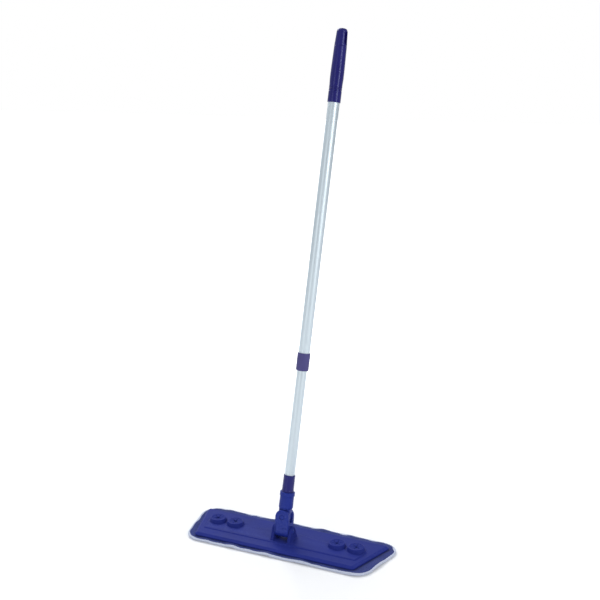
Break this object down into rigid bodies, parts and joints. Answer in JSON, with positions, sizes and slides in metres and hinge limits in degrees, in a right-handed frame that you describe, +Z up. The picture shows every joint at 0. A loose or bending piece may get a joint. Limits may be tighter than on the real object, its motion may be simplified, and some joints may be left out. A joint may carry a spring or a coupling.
{
  "type": "flat mop",
  "caption": "Trapezoid microfibre flat mop with a moulded plate, a two-way joint and a telescopic aluminium pole that leans slightly off upright.",
  "frame": {"origin": "centre of the plate, projected on the floor, in the plane of the pad's underside", "axes": "+X along the pad, +Y towards the pad's long edge, +Z up; at rest the pole leans 10 degrees towards +Y and 2.7 degrees towards +X"},
  "size_m": [0.4224, 0.2334, 0.9737],
  "materials": {
    "microfibre_pile": "looped microfibre pile",
    "pad_foam": "thin foam and fleece filling",
    "pad_backing": "brushed loop fabric",
    "binding_tape": "woven polyester tape, folded over the edge",
    "plate_plastic": "satin moulded polypropylene",
    "hook_tape": "moulded hook tape",
    "soft_grip": "matt thermoplastic rubber",
    "steel": "zinc plated",
    "joint_plastic": "satin moulded polypropylene",
    "navy_plastic": "semi-gloss moulded plastic",
    "collar_plastic": "satin moulded plastic, paler than the grip",
    "satin_aluminium": "satin anodised, drawn lengthwise",
    "nylon": "natural moulded nylon"
  },
  "bodies": {
    "pad": {"pad_pile": "microfibre_pile", "pad_core": "pad_foam", "pad_backing": "pad_backing", "pad_binding": "binding_tape"},
    "head": {"plate": "plate_plastic", "hook_strip_front": "hook_tape", "hook_strip_back": "hook_tape", "cloth_grip_left_outer": "soft_grip", "cloth_grip_left_inner": "soft_grip", "cloth_grip_right_inner": "soft_grip", "cloth_grip_right_outer": "soft_grip", "lower_pin": "joint_plastic", "lower_push_nut": "steel"},
    "knuckle": {"knuckle": "joint_plastic", "upper_pin": "joint_plastic", "upper_push_nut": "steel"},
    "lower_pole": {"socket": "joint_plastic", "ferrule": "navy_plastic", "ferrule_rivet": "steel", "lower_tube": "satin_aluminium", "lock_spindle": "nylon"},
    "twist_lock": {"lock_ring": "nylon"},
    "upper_pole": {"upper_tube": "satin_aluminium", "lock_collar": "collar_plastic", "guide_bush": "nylon", "grip": "navy_plastic", "hang_cap": "navy_plastic"}
  },
  "joints": [
    {"name": "pad_release", "type": "slide", "parent": "pad", "child": "head", "axis": [0, 0, 1], "range_m": [0, 0.06]},
    {"name": "tilt", "type": "hinge", "parent": "head", "child": "knuckle", "pos_m": [0.004, -0.008, 0.0325], "axis": [1, 0, 0], "range_deg": [-75, 95]},
    {"name": "swing", "type": "hinge", "parent": "knuckle", "child": "lower_pole", "pos_m": [0.004, -0.00331, 0.05909], "axis": [0, 0.9848, -0.1736], "range_deg": [-87.7, 82.3]},
    {"name": "twist", "type": "hinge", "parent": "lower_pole", "child": "twist_lock", "pos_m": [0.03509, 0.11117, 0.70834], "axis": [0.0471, 0.1735, 0.9837], "range_deg": [0, 100]},
    {"name": "telescope", "type": "slide", "parent": "twist_lock", "child": "upper_pole", "axis": [0.0471, 0.1735, 0.9837], "range_m": [-0.19, 0.27]}
  ]
}
